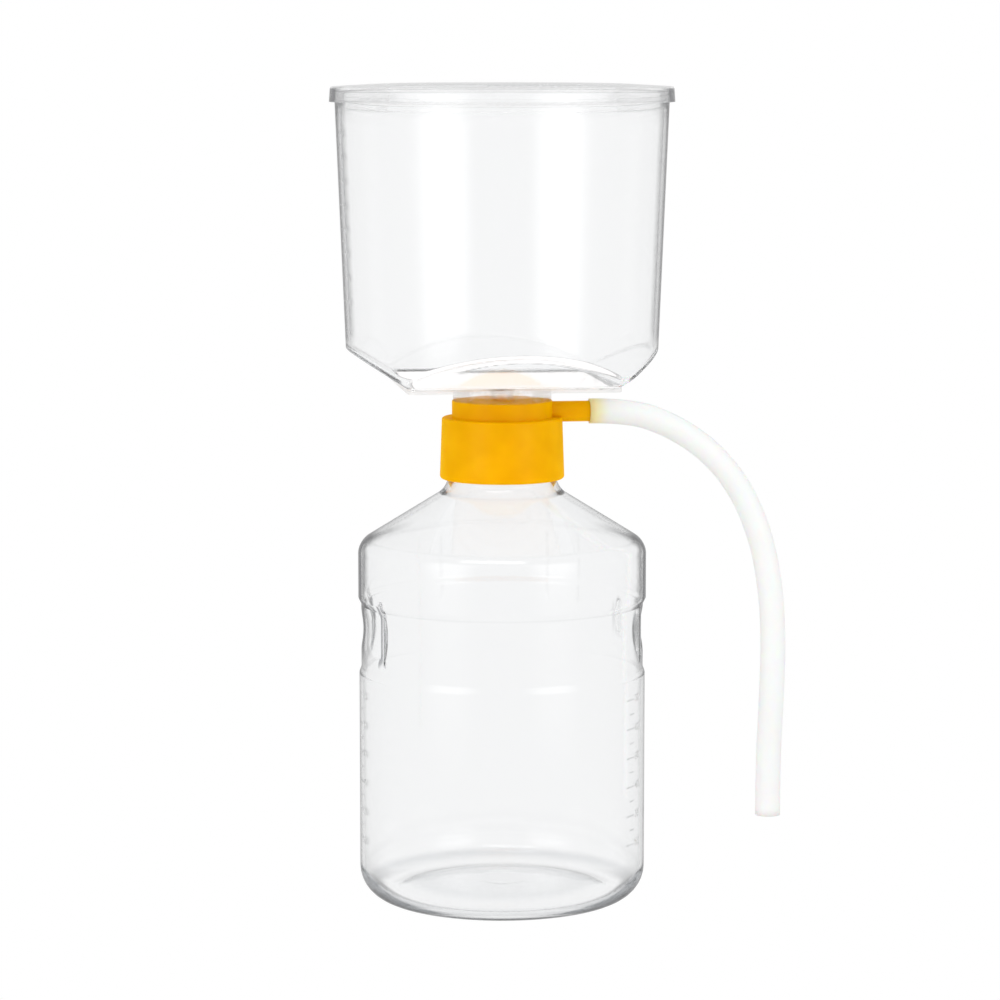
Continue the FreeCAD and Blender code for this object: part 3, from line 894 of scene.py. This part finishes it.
# Painted shade: a near-black outline where the waist and band are seen edge on.
waist_outline_shade = blended(tree, facing(tree), CLEAR_FACE, WAIST_OUTLINE_SHADE, *WAIST_FACING)
corner = tree.nodes.new("ShaderNodeAttribute")
corner.attribute_name = "painted_corner_shade"
wall_colour = mixed(tree, waist, colour_before_waist_shade, waist_outline_shade)
# Painted shade: the grip corners turn dark grey.
corner_shaded_colour = mixed(tree, corner.outputs["Fac"], wall_colour, CORNER_SHADE_COLOUR)
tree.links.new(corner_shaded_colour, principled.inputs["Base Color"])
print("the bottle's finish has", len(tree.nodes), "nodes after its waist")

# %% Painted shade at the heel and foot
PLAIN = (1.0, 1.0, 1.0)
HEEL_START = (3.0, 5.0)
HEEL_END = (7.6, 5.2)
HEEL_SHADE_COLOUR = (0.8, 0.81, 0.82)
FOOT_END = (12.0, 5.0)
FOOT_LEVEL = (0.97, 0.85)
FOOT_OUTLINE_SHADE = (0.05, 0.052, 0.055)
FOOT_FACING = (0.52, 0.78)
tree, principled, upper_colour = painted(bottle_clear)
heel = worked(tree, "MINIMUM", height_level(tree, *HEEL_START), height_level(tree, *HEEL_END))
# Painted shade: a grey band round the heel.
heel_shaded_colour = mixed(tree, heel, upper_colour, HEEL_SHADE_COLOUR)
foot = worked(tree, "MULTIPLY", height_level(tree, *FOOT_END), level(tree, levelness(tree), *FOOT_LEVEL))
# Painted shade: a dark outline on the rounding of the foot.
foot_outline_shade = blended(tree, facing(tree), PLAIN, FOOT_OUTLINE_SHADE, *FOOT_FACING)
foot_shade_tint = mixed(tree, foot, PLAIN, foot_outline_shade)
tree.links.new(mixed(tree, None, heel_shaded_colour, foot_shade_tint, "MULTIPLY"), principled.inputs["Base Color"])
print("the bottle's finish has", len(tree.nodes), "nodes after its foot")

# %% [markdown]
# ## The funnel's wall
#
# The round wall of the funnel is looked at along the plastic at both sides, and a dark line of painted
# shade is put into its colour there. The sloping faces of the foot are flat, and would turn grey all
# over, so a mask on the height keeps the painted line to the wall.

# %% Painted shade at the sides of the funnel's wall
WALL_FOOT = (212.0, 217.0)
SIDE_SHADE_COLOUR = (0.06, 0.06, 0.065)
SIDE_FACING = (0.72, 0.86)
tree, principled, foot_colour = painted(funnel_clear)
# Painted shade: the wall's colour turns near black where it is seen edge on.
side_shaded_colour = blended(tree, facing(tree), CLEAR_FACE, SIDE_SHADE_COLOUR, *SIDE_FACING)
above = height_level(tree, *WALL_FOOT, smooth=False)
tree.links.new(mixed(tree, above, foot_colour, side_shaded_colour), principled.inputs["Base Color"])
print("side lines on the funnel above", WALL_FOOT[0], "mm")

# %% [markdown]
# ## The lid's upright edge
#
# The lid is a thin plate with an upright rim round it. Seen from the side, the two ends of the rim are
# looked at along the plastic, through centimetres of it, and turn dark, while the middle stays
# almost white. A Layer Weight paints that dark into the rim's colour as painted shade and makes the
# ends more solid, kept off the plate by a mask on the slant of the surface.

# %% Upright edge of the lid
RIM_END_ALPHA = 0.96
RIM_END_SHADE_COLOUR = (0.04, 0.04, 0.045)
RIM_END_FACING = (0.6, 0.76)
UPRIGHT_LEVEL = (0.35, 0.1)
tree, principled, plate_colour = painted(lid_clear)
# Painted shade: the ends of the rim turn dark and more solid.
end = level(tree, facing(tree), *RIM_END_FACING)
upright = level(tree, levelness(tree), *UPRIGHT_LEVEL)
painted_end_shade = worked(tree, "MULTIPLY", end, upright)
rim_shaded_colour = mixed(tree, painted_end_shade, plate_colour, RIM_END_SHADE_COLOUR)
tree.links.new(rim_shaded_colour, principled.inputs["Base Color"])
tree.links.new(ranged(tree, painted_end_shade, LID_ALPHA, RIM_END_ALPHA), principled.inputs["Alpha"])
print("the ends of the lid's rim are", RIM_END_ALPHA, "solid")

# %% [markdown]
# ## Amber plastic
#
# The adapter is a bright amber plastic that lets some light through, so it glows rather than looks
# painted. Subsurface scattering gives the glow without the noise of true transmission, and the
# wall's slow variation shifts its colour and its thin gloss slightly, as flow in the mould does.

# %% Amber finish
GLOSS = (0.06, 0.16)
AMBER_COLOURS = ((0.76, 0.37, 0.0), (0.82, 0.41, 0.0))
amber, tree, principled = shader("adapter_amber", IOR=1.49, Subsurface_Weight=0.5, Subsurface_Scale=0.004,
                                 Subsurface_Radius=(1.0, 0.45, 0.08), Specular_IOR_Level=0.0,
                                 Coat_Roughness=0.2)
surface = moulded(tree, principled, wave=(9.0, 0.02), grain=(0.9, 0.004), smooth=0.22, rough=0.34)
variation = surface.outputs["Variation"]
tree.links.new(ranged(tree, variation, *GLOSS), principled.inputs["Coat Weight"])
tree.links.new(blended(tree, variation, *AMBER_COLOURS), principled.inputs["Base Color"])
print(amber.name, "has", len(tree.nodes), "nodes")

# %% [markdown]
# ## Membrane, gasket and tube
#
# The membrane is a matt white felt of fine fibres: a stretched noise read along two directions looks
# like threads lying across each other. The gasket is a dull pale rubber with a fine grain. The
# silicone tube is milky: part of the light goes through and part is scattered. Its first
# centimetre has a painted amber tint, which stands in for the amber barb inside it showing through.

# %% Membrane finish
FIBRE_SCALE = 2600.0
FIBRE_HEIGHT = 0.05 * MM
FIBRE_DETAIL = 2.0
FIBRE_STRETCHES = ((1.0, 0.12, 1.0), (0.12, 1.0, 1.0))
FELT_COLOURS = ((0.93, 0.905, 0.9), (0.99, 0.975, 0.97))
membrane_white, tree, principled = shader("membrane_white", Specular_IOR_Level=0.0)
place = tree.nodes.new("ShaderNodeTexCoord")
fibres = []
for stretch in FIBRE_STRETCHES:
    laid = tree.nodes.new("ShaderNodeMapping")
    laid.inputs["Scale"].default_value = stretch
    fibre = tree.nodes.new("ShaderNodeTexNoise")
    fibre.inputs["Scale"].default_value = FIBRE_SCALE
    fibre.inputs["Detail"].default_value = FIBRE_DETAIL
    tree.links.new(place.outputs["Object"], laid.inputs["Vector"])
    tree.links.new(laid.outputs["Vector"], fibre.inputs["Vector"])
    fibres.append(fibre.outputs["Fac"])
crossed = worked(tree, "MAXIMUM", *fibres)
felt = tree.nodes.new("ShaderNodeBump")
felt.inputs["Distance"].default_value = FIBRE_HEIGHT
tree.links.new(crossed, felt.inputs["Height"])
surface = moulded(tree, principled, wave=(30.0, 0.05), grain=(0.5, 0.01), smooth=0.85, rough=0.95)
tree.links.new(surface.outputs["Normal"], felt.inputs["Normal"])
tree.links.new(felt.outputs["Normal"], principled.inputs["Normal"])
tree.links.new(blended(tree, crossed, *FELT_COLOURS), principled.inputs["Base Color"])
print(membrane_white.name, "has", len(fibres), "layers of fibres")

# %% Gasket finish
RUBBER_COLOURS = ((0.74, 0.73, 0.7), (0.84, 0.83, 0.8))
gasket_rubber, tree, principled = shader("gasket_rubber")
surface = moulded(tree, principled, wave=(8.0, 0.03), grain=(0.35, 0.02), smooth=0.5, rough=0.7)
pale = blended(tree, surface.outputs["Variation"], *RUBBER_COLOURS)
tree.links.new(pale, principled.inputs["Base Color"])
print(gasket_rubber.name, "has", len(tree.nodes), "nodes")

# %% Tube finish
BARB_REACH = (42.0, 34.0)
BARB_SHOW_THROUGH_TINT = (1.0, 0.86, 0.45)
MILKY_COLOURS = ((0.985, 0.965, 0.95), (1.0, 0.99, 0.98))
silicone, tree, principled = shader("tube_silicone", IOR=1.41, Transmission_Weight=0.2,
                                    Subsurface_Weight=0.4, Subsurface_Scale=0.003, Specular_IOR_Level=0.3)
surface = moulded(tree, principled, wave=(14.0, 0.04), grain=(0.7, 0.006), smooth=0.28, rough=0.42)
milky = blended(tree, surface.outputs["Variation"], *MILKY_COLOURS)
along = coordinate(tree, "Object", "X")
# Painted tint: amber near the barb stands in for the barb seen through the wall.
barb_tint_mask = level(tree, along, BARB_REACH[0] * MM, BARB_REACH[1] * MM, smooth=True)
tree.links.new(mixed(tree, barb_tint_mask, milky, BARB_SHOW_THROUGH_TINT), principled.inputs["Base Color"])
print(silicone.name, "is tinted up to", BARB_REACH[0], "mm from the axis")

# %% Finishes on their pieces
FINISH_OF = {
    "vacuum_adapter": amber,
    "drain_plate": plate_clear,
    "membrane": membrane_white,
    "neck_gasket": gasket_rubber,
    "lid": lid_clear,
}
for node, finish in FINISH_OF.items():
    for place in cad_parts[node].material_slots:
        place.material = finish
for piece, finish in ((bottle, bottle_clear), (bottle_marks, marks_clear), (funnel, funnel_clear),
                      (funnel_marks, marks_clear), (tube, silicone)):
    piece.data.materials.clear()
    piece.data.materials.append(finish)
    print(piece.name, "has", finish.name)

# %% [markdown]
# ## Light through clear pieces
#
# Sunlight through a real clear bottle throws hardly a shadow. A path tracer finds such light only by
# chance, and leaves what is inside clear plastic dark and speckled. So the clear pieces are taken out
# of shadow rays and scattered rays: the camera still sees them, and light passes them unhindered.

# %% Clear pieces let light pass
for piece in (bottle, funnel, bottle_marks, funnel_marks,
              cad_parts["lid"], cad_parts["drain_plate"]):
    piece.visible_shadow = False
    piece.visible_diffuse = False
    print(piece.name, "is out of shadow and scattered rays")

# %% [markdown]
# ## Floor, world and lamps
#
# The unit stands in white, with hardly a shadow. A lit floor would turn grey away from the lamps, so
# the floor and the world both glow: fully white to the camera and through clear walls, and dimmer in
# reflections, which leaves the plastic its outlines. Only the spot right under the base is shaded.
# Two tall soft boxes beside the camera give the long bright bands on round walls, and a wide one
# above gives the streak on the shoulder. Their edges fade, as cloth-covered boxes do, and the floor
# is left out of reflections, so that the bands run down the bottle too. Light is mirrored many times
# inside a thick clear edge, so it is followed for more bounces than usual, or the edge turns black.

# %% Light of the studio
REFLECTED_LEVEL = 0.5
BOUNCES = 128


def studio_strength(tree):
    """1 for every ray but a mirrored one, which sees a dimmer studio; a node output."""
    rays = tree.nodes.new("ShaderNodeLightPath")
    mirrored = worked(tree, "SUBTRACT", rays.outputs["Is Glossy Ray"], rays.outputs["Is Transmission Ray"])
    return ranged(tree, mirrored, 1.0, REFLECTED_LEVEL)


scene.view_settings.view_transform = "Standard"
scene.cycles.max_bounces = BOUNCES
scene.cycles.transmission_bounces = BOUNCES
scene.cycles.glossy_bounces = BOUNCES
print("light is followed for", BOUNCES, "bounces")

# %% Floor
FLOOR_R = 3.0
FLOOR_SIDES = 96
FLOOR_SHADE = 0.94
CONTACT_REACH = 15 * MM
bm = bmesh.new()
bmesh.ops.create_circle(bm, cap_ends=True, segments=FLOOR_SIDES, radius=FLOOR_R)
floor_mesh = bpy.data.meshes.new("floor")
bm.to_mesh(floor_mesh)
bm.free()
floor = bpy.data.objects.new("floor", floor_mesh)
scene.collection.objects.link(floor)
floor.visible_glossy = False
white_floor = bpy.data.materials.new("white_floor")
white_floor.use_nodes = True
tree = white_floor.node_tree
tree.nodes.remove(tree.nodes["Principled BSDF"])
glow = tree.nodes.new("ShaderNodeEmission")
contact = tree.nodes.new("ShaderNodeAmbientOcclusion")
contact.inputs["Distance"].default_value = CONTACT_REACH
shade = ranged(tree, contact.outputs["AO"], FLOOR_SHADE, 1.0)
tree.links.new(worked(tree, "MULTIPLY", studio_strength(tree), shade), glow.inputs["Strength"])
tree.links.new(glow.outputs["Emission"], tree.nodes["Material Output"].inputs["Surface"])
floor.data.materials.append(white_floor)
print("floor", 2 * FLOOR_R, "m across")

# %% World
studio = bpy.data.worlds.new("studio")
studio.use_nodes = True
scene.world = studio
tree = studio.node_tree
background = tree.nodes["Background"]
background.inputs["Color"].default_value = (1, 1, 1, 1)
tree.links.new(studio_strength(tree), background.inputs["Strength"])
print(studio.name, "has", len(tree.nodes), "nodes")

# %% Lamps
LAMP_AIM_HEIGHT = 0.16
MIDDLE = 0.5


def soft_box(name, turn, away, height, width, tall, radiance, fade):
    """A rectangular soft box, turned from the camera's bearing, whose light fades to its edges."""
    data = bpy.data.lights.new(name, "AREA")
    data.shape = "RECTANGLE"
    data.size = width
    data.size_y = tall
    data.energy = radiance * math.pi * width * tall
    data.use_nodes = True
    lamp_tree = data.node_tree
    emission = lamp_tree.nodes["Emission"]
    across = lamp_tree.nodes.new("ShaderNodeNewGeometry")
    parts = lamp_tree.nodes.new("ShaderNodeSeparateXYZ")
    lamp_tree.links.new(across.outputs["Parametric"], parts.inputs["Vector"])
    fades = []
    for axis, share in (("X", fade[0]), ("Y", fade[1])):
        from_edge = worked(lamp_tree, "PINGPONG", parts.outputs[axis], MIDDLE)
        fades.append(level(lamp_tree, from_edge, 0.0, share, smooth=True))
    lamp_tree.links.new(worked(lamp_tree, "MULTIPLY", *fades), emission.inputs["Strength"])
    lamp = bpy.data.objects.new(name, data)
    scene.collection.objects.link(lamp)
    bearing = CAMERA_TURN + math.radians(turn)
    lamp.location = (math.sin(bearing) * away, -math.cos(bearing) * away, height)
    print(name, "is", width, "by", tall, "m, at", round(data.energy, 2), "W")
    return aimed(lamp, (0, 0, LAMP_AIM_HEIGHT))


for name, turn in (("left_box", -43), ("right_box", 43)):
    soft_box(name, turn, away=1.3, height=0.45, width=1.3, tall=1.5, radiance=1.1, fade=(0.42, 0.28))
soft_box("top_box", -10, away=0.75, height=1.15, width=1.1, tall=0.3, radiance=2.4, fade=(0.15, 0.15))
